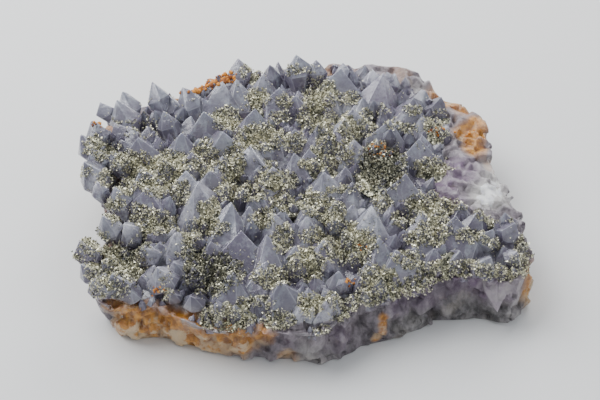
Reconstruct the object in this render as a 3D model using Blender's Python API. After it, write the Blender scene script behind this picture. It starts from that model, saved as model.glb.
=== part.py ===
"""Chalcopyrite on quartz: a cabinet specimen, about 139 x 118 x 31 mm.

A broken slab of quartz matrix lies on its flat sawn underside. Its top is a druse of stubby quartz
points, fused to the slab in one solid. Its right edge is broken bare. Crusts of chalcopyrite fill
the hollows between the points, each a solid of its own that sits on the quartz.
"""

import math
import random

import bmesh
import bpy
from mathutils import Matrix, Vector, noise
from mathutils.bvhtree import BVHTree

# Driving dimensions. Lengths below are in millimetres, and MM turns them into metres.
MM = 0.001
SEED = 11
FRONT_LEVEL = 14.5
BACK_LEVEL = 21.5
LEVEL_START_Y = -48.0
LEVEL_END_Y = -3.0
CENTRE = (0.0, 5.0)
GAP = 0.65
ROOT_DEPTH = 4.5
RIM_ROOT_DEPTH = 6.0
LOWEST_ROOT = 4.0
TIP_FACE_ANGLE = math.radians(57.5)
INNER_TAPER = math.radians(-12.0)
RIM_TAPER = math.radians(36.0)
RIM_LEAN = math.radians(27.0)
FLATNESS = math.radians(0.05)
QUARTZ_TRIANGLES = 6100
CRUST_TRIANGLES = 108

# Top edge of the broken sides, anticlockwise from the front left corner: x, y, height, and how far
# the foot is set in below it.
RIM = [
    (-56, -41.5, 14, 3), (-50, -42, 15, 2), (-43, -42, 15, 2), (-38, -45, 14, 3), (-31, -48, 14, 4),
    (-26, -50, 13, 4), (-19, -50, 14, 2), (-12, -50.5, 14, 2), (-4, -51.5, 13.5, 2),
    (4, -52, 13.5, 1), (10, -46.5, 14, -2), (15, -41, 15, -3), (24, -39.5, 15, -2),
    (33, -35.5, 16, -2), (37, -32.5, 16.5, -1), (47, -32, 17, -1), (54, -33, 17, 0),
    (60, -34, 16, 0), (63, -30, 16, -1), (67, -24, 17, -1), (64.5, -18, 18, 0), (65, -8, 18, 1),
    (63, 0, 18, 1), (60, 9.5, 18, 1), (57.5, 20, 18, 2), (58, 31, 18, 2), (56.5, 39.5, 18, 3),
    (51, 46.5, 18, 3), (46, 50, 18, 2), (42, 56, 18, 2), (37, 62, 19, 3), (30, 65, 19, 3),
    (22, 66, 19, 2), (13, 66, 19, 2), (5, 65, 19, 3), (-5, 65.5, 19, 3), (-15, 62.5, 18, 2),
    (-24, 63.5, 18, 2), (-31, 58, 18, 3), (-39, 50, 17, 2), (-48, 50.5, 17, 2), (-57, 46, 16, 2),
    (-64, 38, 16, 2), (-66.5, 27, 16, 3), (-64.5, 14, 16, 3), (-62.5, 4, 16, 2), (-60, -6, 16, 2),
    (-60, -14, 15, 3), (-63, -22, 15, 5), (-63.5, -30, 14, 5), (-61, -37, 13, 4),
]
RIM_STEPS = 2

# Rings of the broken side, from the foot up: share of the rim's height, inset, roughness.
SIDE_RINGS = [(0.0, 1.0, 1.0), (0.1, 0.0, 1.6), (0.4, 0.0, 2.7), (0.75, 0.6, 2.4)]
SIDE_LUMP = 7.0
SIDE_WAVE = 0.8
RIM_WAVE = 0.9
RIM_LUMP = 4.0
# Rings of the top, from the rim in: share of the radius, share of the way up to the druse's level.
TOP_RINGS = [(1.0, 0.0), (0.93, 0.45), (0.84, 0.75), (0.7, 1.0)]
TOP_DROP = 1.2
TOP_ROUGHNESS = 1.1
TOP_LUMP = 6.0

# Inner edge of the bare broken zone, from the right rim round to the back rim.
BARE_EDGE = [
    (70, -13), (56, -10), (50, -9), (45, -6), (40, -1), (36, 6), (41, 14), (43, 23), (45, 31),
    (46, 38), (41, 44), (36, 47), (35, 53), (27, 59), (17, 60), (12, 72), (80, 72), (80, -13),
]

# Quartz points placed one by one: tip x, tip y, width, height above the druse's level.
POINTS = [
    (-65, 35, 6, 7), (-59, 33, 10, 9), (-58, 39, 8, 8), (-49, 43, 9, 9), (-39, 41, 8, 8),
    (-45, 31, 6, 7), (-31.5, 29, 9, 8), (-27, 43, 9, 9), (-33, 39, 6, 6), (-69, 19.5, 9, 6),
    (-52, 17, 12, 8), (-38.5, 18, 9, 8), (-55, 25, 7, 6), (-60, 12, 7, 6), (-67, 5.5, 10, 7),
    (-63, -1, 6, 6), (-57, -5, 8, 7), (-47.5, -7, 9, 8), (-36, 2, 6, 7), (-32.5, -6, 11, 10),
    (-43.5, 8, 6, 6), (-60, -17, 9, 8), (-53.5, -20, 7, 8), (-38.5, -23, 7, 8), (-28, -24, 6, 6),
    (-66, -25, 9, 7), (-59, -31, 7, 6), (-55, -37, 9, 8), (-43, -36, 10, 9), (-38, -32, 7, 7),
    (-33, -33, 6, 6), (-33, -43, 7, 6), (-48, -27, 8, 7), (-57, -38, 6, 5), (-52, -38.5, 7, 5),
    (-39, -40.5, 6, 5), (-26, -45, 6, 5), (-22.5, 57, 9, 8), (-13.6, 48, 6, 8),
    (-3.5, 57, 9, 9), (3.5, 57, 6, 7), (11.5, 50, 9, 9), (12, 57, 5, 6), (-22.5, 45, 8, 8),
    (-8.5, 42, 6, 7), (-3.5, 40, 6, 6), (-16.5, 29, 11, 9), (-3.5, 23, 5, 6), (-9, 21, 5, 6),
    (3.5, 23, 9, 8), (14.5, 31, 6, 8), (12, 26, 6, 8), (14.5, 17.5, 6, 6), (24.5, 47, 14, 9),
    (33, 36, 12, 8), (36, 29, 5, 6), (35, 17, 11, 7), (22, 56, 7, 4), (29, 55, 6, 3),
    (-17, 12, 10, 8), (-10, 3, 7, 8), (-3.5, 11, 7, 6), (5, -1, 13, 9), (14, -3, 7, 7),
    (-17, -11.5, 6, 6), (-22, -12, 8, 8), (-9.5, -16, 6, 7), (0, -16.5, 6, 7), (19, -14, 11, 9),
    (-19, -21, 9, 7), (-12, -23, 7, 7), (-3, -26, 8, 6), (5, -25, 9, 7), (8, -10, 8, 6),
    (-20.5, -37.5, 12, 9), (-8, -40.5, 11, 8), (0, -40, 8, 6), (-11, -32, 10, 7), (9, -33, 8, 5),
    (8, -41, 9, 5), (-2, -46.5, 8, 4), (4, -46.5, 6, 4), (29.5, -2, 12, 8), (23, -7, 5, 5),
    (34, -16, 10, 8), (44, -17, 10, 8), (51, -14, 8, 7), (54.5, -20.5, 8, 7), (61, -17, 7, 5),
    (21, -24, 7, 7), (26, -28, 7, 7), (18, -31, 8, 6), (31, -26, 6, 6), (37, -27, 6, 6),
    (44.5, -27, 8, 6), (53, -29.5, 9, 6), (61, -27, 6, 5), (-25, 10, 8, 7), (-26, 20, 7, 7),
    (-44, 40, 7, 6), (-35, 12, 7, 6), (-29, 3, 7, 6), (8, 40, 8, 7), (18, 39, 7, 6), (26, 27, 9, 6),
    (24, 14, 8, 5), (-50, 4, 7, 6), (28, 9, 7, 5), (-65, -31.5, 8, 6), (-61, -37, 8, 6),
    (-67, 26, 9, 7), (-65, 14, 8, 6), (-36, 46, 6, 4), (-31, 51, 6, 4), (-26.5, 54, 6, 4),
]

# Smaller points fill what is left of the druse.
FILLER_TRIES = 450
FILLER_WIDTH = (6.5, 9.0)
FILLER_HEIGHT = (2.5, 5.5)
FILLER_HEIGHT_IN_CRUST = (0.8, 2.2)
CROWDING = 0.62
SPREAD = 1.32
RIM_MARGIN = 1.08
SIX_FACED_SHARE = 0.75
SIDE_SPREAD = (0.9, 1.15)
MAIN_TIP_OFFSET = (-0.05, 0.12)
MINOR_TIP_OFFSET = (0.0, 0.22)
LEAN_ALONG_X = (-0.16, 0.16)
LEAN_ALONG_Y = (-0.06, 0.3)
TURNS = (-90, 30)
TURN_SPREAD = 24

# The druse's half size, and where in it the points begin to lean out and taper to their roots.
HALF_SIZE = (66.0, 58.0)
RIM_START = 0.66
RIM_WIDTH = 0.34

# Chalcopyrite crusts: name, x, y, half length along X, half length along Y, thickness.
CRUSTS = [
    ("main", 22.5, 5.5, 7, 9, 3.4),
    ("centre", -13.5, 22, 7, 6, 2.3),
    ("centre_right", 5, 18, 4, 8, 2.1),
    ("centre_front", 4, 9, 7, 3.5, 2.1),
    ("centre_left", -22, 9, 4, 9, 2.1),
    ("middle", -10, 1, 7, 5, 2.3),
    ("middle_left", -22, -2, 4.5, 4.5, 2.1),
    ("middle_front", -5, -7, 8, 4, 2.1),
    ("middle_right", 8, -12, 5, 4.5, 2.1),
    ("back", 3.5, 32, 6, 6, 2.1),
    ("back_middle", 4.5, 42, 6, 7, 2.3),
    ("back_left_of_middle", -15, 41, 4, 5, 2.1),
    ("back_rim", -18, 55, 4.5, 4.5, 2.1),
    ("back_right", 14, 27, 4, 5.5, 2.1),
    ("back_far_left", -25, 31, 4.5, 5, 2.1),
    ("right", 39, 9, 6, 4.5, 2.1),
    ("right_back", 39, 29, 4, 6, 2.1),
    ("right_front", 38, -7, 8, 4, 2.3),
    ("right_hollow", 37, -16, 6, 4, 2.1),
    ("right_end", 53, -13, 4.5, 3.5, 2.0),
    ("left_back", -62, 17, 4, 5, 2.2),
    ("left_middle", -52, 10, 6.5, 5, 2.1),
    ("left_inner", -40, 10, 6, 6, 2.1),
    ("left", -45, 0, 5.5, 5, 2.1),
    ("left_rim", -56, -8, 5, 5, 2.2),
    ("left_hollow", -44, -14, 6.5, 4.5, 2.1),
    ("left_centre", -29, -12, 5.5, 5.5, 2.1),
    ("front_left_rim", -56.5, -23, 4, 5, 2.1),
    ("front_left_inner", -51, -28, 6, 5, 2.1),
    ("front_hollow", -28, -31, 6.5, 6, 2.3),
    ("front_left", -20, -45.5, 6, 4, 2.1),
    ("front_middle", 0, -28, 6, 5.5, 2.1),
    ("front_right", 12, -20, 7, 5, 2.1),
    ("front_rim", 2, -42, 6, 4.5, 2.1),
    ("front_right_ledge", 22, -36, 7, 4.5, 2.3),
    ("front_right_rim", 41, -28, 8, 3.5, 2.1),
]
CRUST_SPACING = 3.3
CRUST_LUMP = 0.7
CRUST_DEPTH = 5.0
CRUST_FOOT = 0.45
LARGEST_STEP = 3.0
REACH_SHARE = 0.8
SMOOTHING_REACH = 2.6
EDGE_WAVE = 0.34
EDGE_LUMP = 1.3
EDGE_THINNING = 0.75
PULLS = (1.0, 0.85, 0.7, 0.55, 0.4)


def smooth(share):
    """Eases a share from 0 to 1, level at both ends."""
    share = min(max(share, 0.0), 1.0)
    return share * share * (3.0 - 2.0 * share)


def druse_level(y):
    """Height of the hollows between the points."""
    way_back = (y - LEVEL_START_Y) / (LEVEL_END_Y - LEVEL_START_Y)
    return FRONT_LEVEL + (BACK_LEVEL - FRONT_LEVEL) * smooth(way_back)


def roughness_at(x, y, z, size, seed):
    """Smooth noise between about -1 and 1, with lumps of the given size."""
    return noise.noise(Vector((x / size + seed, y / size, z / size)))


def inside(polygon, x, y):
    """Whether a point lies in a polygon."""
    found = False
    for (x1, y1), (x2, y2) in zip(polygon, polygon[1:] + polygon[:1]):
        if (y1 > y) != (y2 > y) and x < (x2 - x1) * (y - y1) / (y2 - y1) + x1:
            found = not found
    return found


def rim_stations():
    """The rim's points with others set between them, a little off the straight line."""
    stations = []
    for start, end in zip(RIM, RIM[1:] + RIM[:1]):
        for step in range(RIM_STEPS):
            share = step / RIM_STEPS
            x, y, z, inset = (a + (b - a) * share for a, b in zip(start, end))
            shift = RIM_WAVE * roughness_at(x, y, z, RIM_LUMP, SEED) if step else 0.0
            stations.append((Vector((x + shift, y - shift, z)), inset))
    return stations


def plate_rings(grow):
    """Rings of points for the slab, from the foot up the side and over the top."""
    stations = rim_stations()
    centre = Vector((*CENTRE, 0.0))
    rings = []
    for share, inset, rough in SIDE_RINGS:
        ring = []
        for rim, foot_inset in stations:
            outward = Vector((rim.x - centre.x, rim.y - centre.y, 0.0)).normalized()
            z = rim.z * share
            offset = grow - inset - foot_inset * (1.0 - share)
            offset += rough * roughness_at(rim.x, rim.y, z, SIDE_LUMP, 3.0)
            if share:
                z += SIDE_WAVE * roughness_at(rim.x, rim.y, z, SIDE_LUMP, 8.0)
            ring.append(Vector((rim.x, rim.y, z)) + outward * offset)
        rings.append(ring)
    for share, lift in TOP_RINGS:
        ring = []
        for rim, _ in stations:
            x = centre.x + (rim.x - centre.x) * share
            y = centre.y + (rim.y - centre.y) * share
            z = rim.z + (druse_level(y) - TOP_DROP - rim.z) * lift
            z += TOP_ROUGHNESS * roughness_at(x, y, z, TOP_LUMP, 21.0)
            outward = Vector((rim.x - centre.x, rim.y - centre.y, 0.0)).normalized()
            ring.append(Vector((x, y, z + grow)) + outward * (grow if share == 1.0 else 0.0))
        rings.append(ring)
    return rings


def plate_mesh(grow):
    """The slab: rings bridged into a loft, flat below and closed at the middle of the top."""
    bm = bmesh.new()
    loops = []
    for ring in plate_rings(grow):
        loops.append([bm.verts.new(point * MM) for point in ring])
    count = len(loops[0])
    bm.faces.new(reversed(loops[0]))
    for lower, upper in zip(loops, loops[1:]):
        for i in range(count):
            j = (i + 1) % count
            bm.faces.new((lower[i], lower[j], upper[j]))
            bm.faces.new((lower[i], upper[j], upper[i]))
    top = Vector((*CENTRE, druse_level(CENTRE[1]) - TOP_DROP + grow)) * MM
    apex = bm.verts.new(top)
    for i in range(count):
        bm.faces.new((loops[-1][i], loops[-1][(i + 1) % count], apex))
    return bm


def cut_by_plane(bm, normal, distance, start=Vector((0.0, 0.0, 0.0))):
    """Cuts off what lies past a plane at a distance from a start point, and closes the cut."""
    cut = bmesh.ops.bisect_plane(
        bm,
        geom=bm.verts[:] + bm.edges[:] + bm.faces[:],
        plane_co=start + normal * distance,
        plane_no=normal,
        clear_outer=True,
    )
    edges = [item for item in cut["geom_cut"] if isinstance(item, bmesh.types.BMEdge)]
    bmesh.ops.holes_fill(bm, edges=edges)


def quartz_point(shape, grow):
    """One quartz point with its tip at the origin, as a six-sided prism under six tip faces."""
    bm = bmesh.new()
    size = shape["length"] * 4.0
    bmesh.ops.create_cube(bm, size=size)
    for number, distance in enumerate(shape["sides"]):
        turn = math.radians(60.0 * number)
        side = Vector((math.cos(turn), math.sin(turn), -math.tan(shape["taper"])))
        cut_by_plane(bm, side.normalized(), distance + grow)
    slope = Vector((math.sin(TIP_FACE_ANGLE), 0.0, math.cos(TIP_FACE_ANGLE)))
    for number, distance in enumerate(shape["tips"]):
        turn = Matrix.Rotation(math.radians(60.0 * number), 3, "Z")
        cut_by_plane(bm, turn @ slope, distance + grow)
    cut_by_plane(bm, Vector((0.0, 0.0, -1.0)), shape["length"])
    bmesh.ops.transform(bm, matrix=shape["place"], verts=bm.verts)
    bmesh.ops.scale(bm, vec=(MM, MM, MM), verts=bm.verts)
    return bm


def shape_of_point(x, y, width, height, dice):
    """Works out a quartz point's faces, length and place from its tip, width and height."""
    radius = width * SPREAD / 2.0
    sides = [radius * dice.uniform(*SIDE_SPREAD) for _ in range(6)]
    main = [dice.uniform(*MAIN_TIP_OFFSET) * radius for _ in range(3)]
    six_faced = dice.random() < SIX_FACED_SHARE
    minor = [dice.uniform(*MINOR_TIP_OFFSET) * radius if six_faced else radius for _ in range(3)]
    tips = [main[0], minor[0], main[1], minor[1], main[2], minor[2]]
    tip = Vector((x, y, druse_level(y) + height))
    reach = Vector(((x - CENTRE[0]) / HALF_SIZE[0], (y - CENTRE[1]) / HALF_SIZE[1], 0.0))
    edge = smooth((reach.length - RIM_START) / RIM_WIDTH)
    outward = reach.normalized() if reach.length else reach
    lean = outward * math.tan(RIM_LEAN) * edge
    lean += Vector((dice.uniform(*LEAN_ALONG_X), dice.uniform(*LEAN_ALONG_Y), 0.0))
    axis = (Vector((0.0, 0.0, 1.0)) + lean).normalized()
    length = min(height + ROOT_DEPTH + RIM_ROOT_DEPTH * edge, (tip.z - LOWEST_ROOT) / axis.z)
    upright = Vector((0.0, 0.0, 1.0)).rotation_difference(axis).to_matrix().to_4x4()
    turn = dice.choice(TURNS) + dice.uniform(-TURN_SPREAD, TURN_SPREAD)
    spin = Matrix.Rotation(math.radians(turn), 4, "Z")
    return {
        "sides": sides,
        "tips": tips,
        "length": length,
        "taper": INNER_TAPER + RIM_TAPER * edge,
        "place": Matrix.Translation(tip) @ upright @ spin,
        "tip": tip,
        "width": width,
    }


def in_crust(x, y):
    """Whether a place on the druse lies under a chalcopyrite crust."""
    return any(((x - cx) / rx) ** 2 + ((y - cy) / ry) ** 2 < 1.0 for _, cx, cy, rx, ry, _ in CRUSTS)


def all_points():
    """Every quartz point of the druse: the placed ones, then fillers wherever there is room."""
    dice = random.Random(SEED)
    shapes = [shape_of_point(*row, dice) for row in POINTS]
    outline = [(x, y) for x, y, _, _ in RIM]
    for _ in range(FILLER_TRIES):
        x, y = dice.uniform(-70, 66), dice.uniform(-53, 64)
        width = dice.uniform(*FILLER_WIDTH)
        heights = FILLER_HEIGHT_IN_CRUST if in_crust(x, y) else FILLER_HEIGHT
        height = dice.uniform(*heights)
        if inside(BARE_EDGE, x, y) or not inside(outline, x * RIM_MARGIN, y * RIM_MARGIN):
            continue
        apart = [
            math.dist((x, y), shape["tip"][:2]) - CROWDING * (width + shape["width"]) / 2.0
            for shape in shapes
        ]
        if min(apart) > 0.0:
            shapes.append(shape_of_point(x, y, width, height, dice))
    return shapes


def new_object(name, bm, collection):
    """Makes an object from a mesh under construction."""
    mesh = bpy.data.meshes.new(name)
    bm.to_mesh(mesh)
    bm.free()
    obj = bpy.data.objects.new(name, mesh)
    collection.objects.link(obj)
    return obj


def combine(obj, other, operation, use_self=False):
    """Joins or cuts an object with another one, and leaves the result as its mesh."""
    modifier = obj.modifiers.new(operation, "BOOLEAN")
    modifier.operation = operation
    modifier.solver = "EXACT"
    modifier.object = other
    modifier.use_self = use_self
    graph = bpy.context.evaluated_depsgraph_get()
    result = bpy.data.meshes.new_from_object(obj.evaluated_get(graph))
    obj.modifiers.remove(modifier)
    old = obj.data
    obj.data = result
    bpy.data.meshes.remove(old)


def islands_of(bm):
    """The separate closed surfaces of a mesh, as lists of faces."""
    left = set(bm.faces)
    found = []
    while left:
        start = left.pop()
        island = [start]
        waiting = [start]
        while waiting:
            for edge in waiting.pop().edges:
                for face in edge.link_faces:
                    if face in left:
                        left.remove(face)
                        island.append(face)
                        waiting.append(face)
        found.append(island)
    return found


def signed_volume(island):
    """Volume that a closed surface holds, negative where it faces inwards."""
    total = 0.0
    for face in island:
        first, *rest = (vert.co for vert in face.verts)
        for a, b in zip(rest, rest[1:]):
            total += first.dot(a.cross(b)) / 6.0
    return total


def thin_out(obj, triangles):
    """Collapses the shortest and flattest edges until the mesh has the given number of triangles."""
    modifier = obj.modifiers.new("thin", "DECIMATE")
    modifier.ratio = min(1.0, triangles / len(obj.data.polygons))
    graph = bpy.context.evaluated_depsgraph_get()
    result = bpy.data.meshes.new_from_object(obj.evaluated_get(graph))
    obj.modifiers.remove(modifier)
    obj.data = result


def keep_largest(obj):
    """Deletes all but the largest surface, closes it, and merges faces that lie in one plane."""
    bm = bmesh.new()
    bm.from_mesh(obj.data)
    bmesh.ops.remove_doubles(bm, verts=bm.verts, dist=0.01 * MM)
    islands = sorted(islands_of(bm), key=signed_volume)
    spare = [face for island in islands[:-1] for face in island]
    if spare:
        bmesh.ops.delete(bm, geom=spare, context="FACES")
    open_edges = [edge for edge in bm.edges if edge.is_boundary]
    bmesh.ops.holes_fill(bm, edges=open_edges)
    bmesh.ops.dissolve_limit(
        bm, angle_limit=FLATNESS, use_dissolve_boundaries=False, verts=bm.verts, edges=bm.edges
    )
    bmesh.ops.triangulate(bm, faces=bm.faces)
    bm.to_mesh(obj.data)
    bm.free()


def druse_solid(name, shapes, grow, collection, helpers):
    """The slab and every point in one solid, with all faces set out by the given distance."""
    solid = new_object(name, plate_mesh(grow), collection)
    together = bmesh.new()
    for shape in shapes:
        point = quartz_point(shape, grow)
        mesh = bpy.data.meshes.new("point")
        point.to_mesh(mesh)
        point.free()
        together.from_mesh(mesh)
        bpy.data.meshes.remove(mesh)
    points = new_object(name + "_points", together, helpers)
    combine(solid, points, "UNION", use_self=True)
    bpy.data.objects.remove(points)
    keep_largest(solid)
    return solid


def surface_height(tree, x, y):
    """Height of the druse's surface above a place, or None past its edge."""
    hit = tree.ray_cast(Vector((x, y, 100.0)) * MM, Vector((0.0, 0.0, -1.0)))
    return hit[0].z / MM if hit[0] else None


def mean_height(tree, x, y):
    """Mean height of the druse round a place, leaving out what lies past its edge."""
    reach = SMOOTHING_REACH
    around = [(0, 0), (reach, 0), (-reach, 0), (0, reach), (0, -reach)]
    heights = [surface_height(tree, x + dx, y + dy) for dx, dy in around]
    known = [height for height in heights if height is not None]
    return sum(known) / len(known) if known else None


def crust_blank(row, tree):
    """A lumpy pad over one hollow, deeper than the quartz under it, to be cut by the quartz."""
    name, cx, cy, rx, ry, thickness = row
    dice = random.Random(name)
    bm = bmesh.new()
    rings = max(2, round((rx + ry) / 2.0 / CRUST_SPACING))
    spokes = max(8, round(math.pi * (rx + ry) / CRUST_SPACING))
    wobble = dice.uniform(0, 50)
    middle = mean_height(tree, cx, cy)
    top = bm.verts.new(Vector((cx, cy, middle + thickness)) * MM)
    bottom = bm.verts.new(Vector((cx, cy, middle - CRUST_DEPTH)) * MM)
    previous = None
    for ring in range(1, rings + 1):
        share = ring / rings
        upper = []
        for spoke in range(spokes):
            turn = math.tau * (spoke + 0.5 * (ring % 2)) / spokes
            around = Vector((math.cos(turn), math.sin(turn))) * 2.0
            edge = 1.0 + EDGE_WAVE * roughness_at(around.x, around.y, wobble, EDGE_LUMP, 0)
            for pull in PULLS:
                x = cx + rx * share * edge * math.cos(turn) * pull
                y = cy + ry * share * edge * math.sin(turn) * pull
                height = mean_height(tree, x, y)
                if height is not None and height > middle - LARGEST_STEP:
                    break
            z = height + thickness * (1.0 - EDGE_THINNING * share**3)
            z += dice.uniform(-1, 1) * CRUST_LUMP
            upper.append(bm.verts.new(Vector((x, y, z)) * MM))
        for i in range(spokes):
            j = (i + 1) % spokes
            if previous is None:
                bm.faces.new((top, upper[i], upper[j]))
            else:
                bm.faces.new((previous[i], upper[i], previous[j]))
                bm.faces.new((previous[j], upper[i], upper[j]))
        previous = upper
    lower = []
    for vert in previous:
        inner = Vector((cx, cy)) * MM * (1.0 - CRUST_FOOT) + vert.co.xy * CRUST_FOOT
        lower.append(bm.verts.new(Vector((inner.x, inner.y, (middle - CRUST_DEPTH) * MM))))
    for i in range(spokes):
        j = (i + 1) % spokes
        bm.faces.new((previous[i], lower[i], lower[j]))
        bm.faces.new((previous[i], lower[j], previous[j]))
        bm.faces.new((bottom, lower[j], lower[i]))
    bmesh.ops.recalc_face_normals(bm, faces=bm.faces)
    part_from_neighbours(bm, row)
    return bm


def part_from_neighbours(bm, row):
    """Cuts a pad back to the line halfway to each crust that it would run into."""
    start = Vector((row[1], row[2], 0.0))
    size = row[3] + row[4]
    for other in CRUSTS:
        away = Vector((other[1], other[2], 0.0)) - start
        other_size = other[3] + other[4]
        if 0.0 < away.length < REACH_SHARE * (size + other_size):
            distance = away.length * size / (size + other_size) - GAP
            cut_by_plane(bm, away.normalized(), distance * MM, start * MM)


def principled(name, colour, roughness, metallic):
    """A plain Principled material."""
    material = bpy.data.materials.new(name)
    material.use_nodes = True
    shader = material.node_tree.nodes["Principled BSDF"]
    shader.inputs["Base Color"].default_value = (*colour, 1.0)
    shader.inputs["Roughness"].default_value = roughness
    shader.inputs["Metallic"].default_value = metallic
    return material


def clear_scene():
    """Removes every object that the scene starts with."""
    for obj in list(bpy.data.objects):
        bpy.data.objects.remove(obj)


def new_collection(name):
    """A collection in the scene."""
    collection = bpy.data.collections.new(name)
    bpy.context.scene.collection.children.link(collection)
    return collection


def main():
    clear_scene()
    specimen = new_collection("chalcopyrite_on_quartz")
    helpers = new_collection("helpers")
    shapes = all_points()
    quartz = druse_solid("quartz_druse", shapes, 0.0, specimen, helpers)
    quartz.data.materials.clear()
    quartz.data.materials.append(principled("quartz_druse", (0.24, 0.23, 0.3), 0.3, 0.0))
    clearance = druse_solid("clearance", shapes, GAP, helpers, helpers)
    thin_out(quartz, QUARTZ_TRIANGLES)
    tree = BVHTree.FromObject(quartz, bpy.context.evaluated_depsgraph_get())
    for row in CRUSTS:
        name = "chalcopyrite_" + row[0]
        crust = new_object(name, crust_blank(row, tree), specimen)
        combine(crust, clearance, "DIFFERENCE")
        keep_largest(crust)
        thin_out(crust, CRUST_TRIANGLES)
        crust.data.materials.clear()
        crust.data.materials.append(principled(name, (0.3, 0.26, 0.13), 0.35, 0.85))
    bpy.data.objects.remove(clearance)
    bpy.data.collections.remove(helpers)


main()
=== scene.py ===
"""Looks of a chalcopyrite on quartz specimen: quartz druse, brassy crusts, rust and a studio."""

import functools
import math

import bpy
import numpy as np
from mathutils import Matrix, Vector, noise
from mathutils.bvhtree import BVHTree
from mathutils.kdtree import KDTree


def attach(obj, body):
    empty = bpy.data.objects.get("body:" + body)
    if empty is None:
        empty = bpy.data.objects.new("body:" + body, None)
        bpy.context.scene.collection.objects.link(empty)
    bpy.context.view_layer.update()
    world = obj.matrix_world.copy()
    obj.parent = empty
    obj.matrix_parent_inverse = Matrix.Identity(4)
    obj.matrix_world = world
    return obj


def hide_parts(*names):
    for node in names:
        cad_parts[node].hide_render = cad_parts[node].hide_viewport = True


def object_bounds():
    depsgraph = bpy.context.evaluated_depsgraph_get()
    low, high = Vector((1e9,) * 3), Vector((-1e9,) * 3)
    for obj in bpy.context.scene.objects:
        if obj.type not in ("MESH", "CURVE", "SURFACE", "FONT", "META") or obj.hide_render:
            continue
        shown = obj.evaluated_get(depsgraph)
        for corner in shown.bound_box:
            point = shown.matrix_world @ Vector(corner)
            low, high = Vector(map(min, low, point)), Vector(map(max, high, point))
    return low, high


bl_info = {
    "name": "Chalcopyrite on Quartz",
    "version": (1, 0, 0),
    "blender": (4, 5, 0),
    "location": "3D View > Sidebar > Specimen",
    "description": "Finishes a packed mineral specimen with crystal, crust and rust detail",
    "category": "Object",
}

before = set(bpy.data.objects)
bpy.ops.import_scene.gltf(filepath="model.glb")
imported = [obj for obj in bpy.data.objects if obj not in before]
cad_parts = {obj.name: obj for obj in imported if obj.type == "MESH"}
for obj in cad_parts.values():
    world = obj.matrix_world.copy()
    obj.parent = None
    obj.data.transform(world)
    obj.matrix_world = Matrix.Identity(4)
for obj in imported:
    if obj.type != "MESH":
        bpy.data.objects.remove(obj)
CAD_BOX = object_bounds()

# Lengths in this file are in millimetres unless a name says otherwise, and MM turns them into metres.
MM = 0.001
BODY = "root"
QUARTZ_NODE = "quartz_druse"
QUARTZ_SLOT = "quartz"
CHALCOPYRITE_SLOT = "chalcopyrite"

# Height of the hollows between the quartz points, rising from the front to the back.
FRONT_LEVEL = 14.5
BACK_LEVEL = 21.5
LEVEL_START_Y = -48.0
LEVEL_END_Y = -3.0

# The photograph's camera: the point that it looks at, its distance, its height angle and its lens.
VIEW_TARGET = Vector((-2.0, 3.0, 16.0))
VIEW_DISTANCE = 510.0
VIEW_ELEVATION = math.radians(42.0)
VIEW_LENS = 100.0
VIEW_SENSOR = 36.0
VIEW_DIRECTION = Vector((0.0, math.cos(VIEW_ELEVATION), -math.sin(VIEW_ELEVATION)))
VIEW_POINT = VIEW_TARGET - VIEW_DIRECTION * VIEW_DISTANCE

# Patches are placed as the photograph shows them, on a surface this far above the hollows.
SEEN_RISE = 8.0

# The grown crystals: vertices that are merged, facets that are joined, blunted edges and smooth shading.
MERGE_DISTANCE = 0.002
FACET_ANGLE = math.radians(4.0)
EDGE_WIDTH = 0.2
BLUNTED_ANGLE = math.radians(24.0)
SMOOTH_ANGLE = math.radians(30.0)

# The broken sides: how far they lie below the hollows, and the heights between which they are found.
SIDE_DEPTH = 3.5
LOWEST_SIDE = 1.0
HIGHEST_SIDE = 9.0

# What counts as broken: deep places by the sides or near the base, low places in the bare zone
# and a ledge that runs along the sides.
BROKEN_DEPTH = 1.7
HOLLOW_DISTANCE = 4.0
LOWEST_HOLLOW = 6.0
BARE_RISE = 1.6
LEDGE_WIDTH = 2.8
LEDGE_FADE = 0.8
LEDGE_RISE = 0.9

# Chips on the broken faces, how finely the faces are split for them, and the bulges.
FRACTURE_CELL = 5.0
FRACTURE_TILT = 0.45
FRACTURE_DEPTH = 1.0
LONGEST_BROKEN_EDGE = 1.1
SPLITTING_ROUNDS = 5
UNDERSIDE_HEIGHT = 0.05
BULGE_HEIGHT = 1.8

# Rays from above find the places of small crystals. They start high up and aim at one level.
DOWN = Vector((0.0, 0.0, -1.0))
MEAN_RISE = 3.0
AIMED_LEVEL = 18.0
RAY_START = 40.0
STEEPEST_RAY = 0.75
STRAY_RAYS = 10000
RUST_RAYS = 60000
LOWEST_GRAIN = 1.5

# Small quartz points: the rays that are tried, their widths, and their heights as shares of the usual.
SMALL_POINT_TRIES = 4200
SMALL_POINT_RAY = 0.1
SMALL_POINT_WIDTH = (2.4, 7.5)
SMALL_POINT_HEIGHT = (0.8, 1.15)
SMALL_POINT_CROWDING = 0.8
# Where their feet may stand, against the hollows' level, and how much the ground there faces up.
LOWEST_FOOT = -4.5
HIGHEST_FOOT = 2.2
STEEPEST_GROUND = 0.55
# How far round a foot the ground is felt for, and how far down it may drop.
ROOT_REACHES = (1.6, 2.3, 3.0, 3.8, 4.7)
ROOT_STEPS = 8
SEARCH_HEIGHT = 80.0
DEEPEST_ROOT = 3.6
SMALLEST_DROP = 2.5
# The amethyst point on the broken side: its foot, the way it points and its width.
SIDE_POINT = ((54.8, -31.8, 12.6), (0.08, -0.75, -0.5), 8.6)

# The crusts, apart from the main one, lie this much deeper than their solids, so that quartz
# shows between the single crystals.
CRUST_SINK = 1.2

# The meshes of single crystals: name, and where each starts and ends along X.
CRYSTAL_STRIPS = (("left", -99, -20), ("middle", -20, 16), ("right", 16, 99))

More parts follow.
